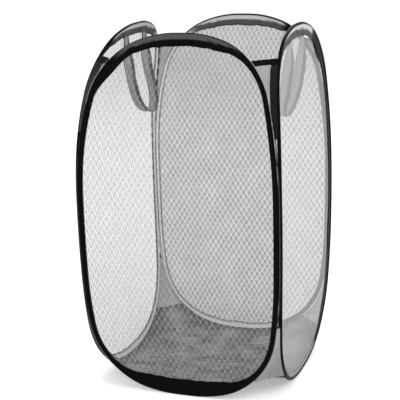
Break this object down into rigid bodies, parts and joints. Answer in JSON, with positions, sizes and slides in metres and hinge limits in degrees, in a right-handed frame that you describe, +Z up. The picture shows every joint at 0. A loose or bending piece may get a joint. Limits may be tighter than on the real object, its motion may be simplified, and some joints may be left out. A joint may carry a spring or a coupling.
{
  "type": "pop up laundry hamper",
  "caption": "Square pop up laundry hamper: net panels on sprung wire loops in black sleeves, grey corner gussets and floor, webbing handles.",
  "frame": {"origin": "on the ground under the middle of the hamper", "axes": "+Z up, front panel facing -Y, handles on the panels at -X and +X"},
  "size_m": [0.3556, 0.3556, 0.61],
  "materials": {
    "spring_wire": "satin",
    "ferrule_metal": "satin",
    "sleeve_tape": "satin",
    "net_mesh": "matte",
    "seam_thread": "matte",
    "grey_nylon": "satin",
    "webbing": "matte"
  },
  "bodies": {
    "front_panel": {"front_wire_loop": "spring_wire", "front_wire_ferrule": "ferrule_metal", "front_sleeve": "sleeve_tape", "front_net": "net_mesh", "front_left_seam": "seam_thread", "front_left_top_gusset": "grey_nylon", "front_left_gusset_tape": "sleeve_tape", "front_left_bottom_gusset": "grey_nylon", "front_right_seam": "seam_thread", "front_right_top_gusset": "grey_nylon", "front_right_gusset_tape": "sleeve_tape", "front_right_bottom_gusset": "grey_nylon", "floor_sheet": "grey_nylon"},
    "right_panel": {"right_wire_loop": "spring_wire", "right_wire_ferrule": "ferrule_metal", "right_sleeve": "sleeve_tape", "right_net": "net_mesh", "right_handle_patch_a": "webbing", "right_handle_patch_b": "webbing"},
    "back_panel": {"back_wire_loop": "spring_wire", "back_wire_ferrule": "ferrule_metal", "back_sleeve": "sleeve_tape", "back_net": "net_mesh", "back_left_seam": "seam_thread", "back_left_top_gusset": "grey_nylon", "back_left_gusset_tape": "sleeve_tape", "back_left_bottom_gusset": "grey_nylon", "back_right_seam": "seam_thread", "back_right_top_gusset": "grey_nylon", "back_right_gusset_tape": "sleeve_tape", "back_right_bottom_gusset": "grey_nylon"},
    "left_panel": {"left_wire_loop": "spring_wire", "left_wire_ferrule": "ferrule_metal", "left_sleeve": "sleeve_tape", "left_net": "net_mesh", "left_handle_patch_a": "webbing", "left_handle_patch_b": "webbing"},
    "left_handle_loop": {"left_handle": "webbing"},
    "right_handle_loop": {"right_handle": "webbing"}
  },
  "joints": [
    {"name": "left_fold", "type": "hinge", "parent": "front_panel", "child": "left_panel", "pos_m": [-0.16529, -0.16529, 0.3], "axis": [0, 0, -1], "range_deg": [0, 62], "stiffness_Nm_per_rad": 0.4, "deforming": ["floor_sheet", "front_left_top_gusset", "front_left_gusset_tape", "front_left_bottom_gusset", "back_right_top_gusset", "back_right_gusset_tape", "back_right_bottom_gusset"]},
    {"name": "right_fold", "type": "hinge", "parent": "front_panel", "child": "right_panel", "pos_m": [0.1746, -0.1746, 0.3], "axis": [0, 0, -1], "range_deg": [0, 62], "deforming": ["front_right_top_gusset", "front_right_gusset_tape", "front_right_bottom_gusset"]},
    {"name": "back_fold", "type": "hinge", "parent": "left_panel", "child": "back_panel", "pos_m": [-0.1746, 0.1746, 0.3], "axis": [0, 0, -1], "range_deg": [-62, 0], "deforming": ["back_left_top_gusset", "back_left_gusset_tape", "back_left_bottom_gusset"]},
    {"name": "left_handle_swing", "type": "hinge", "parent": "left_panel", "child": "left_handle_loop", "pos_m": [-0.13071, 0, 0.58923], "axis": [0, -1, 0], "range_deg": [0, 150]},
    {"name": "right_handle_swing", "type": "hinge", "parent": "right_panel", "child": "right_handle_loop", "pos_m": [0.15688, 0, 0.58923], "axis": [0, 1, 0], "range_deg": [0, 165]}
  ],
  "couplings": [
    {"joint": "right_fold", "follows": "left_fold", "ratio": 1},
    {"joint": "back_fold", "follows": "left_fold", "ratio": -1}
  ]
}
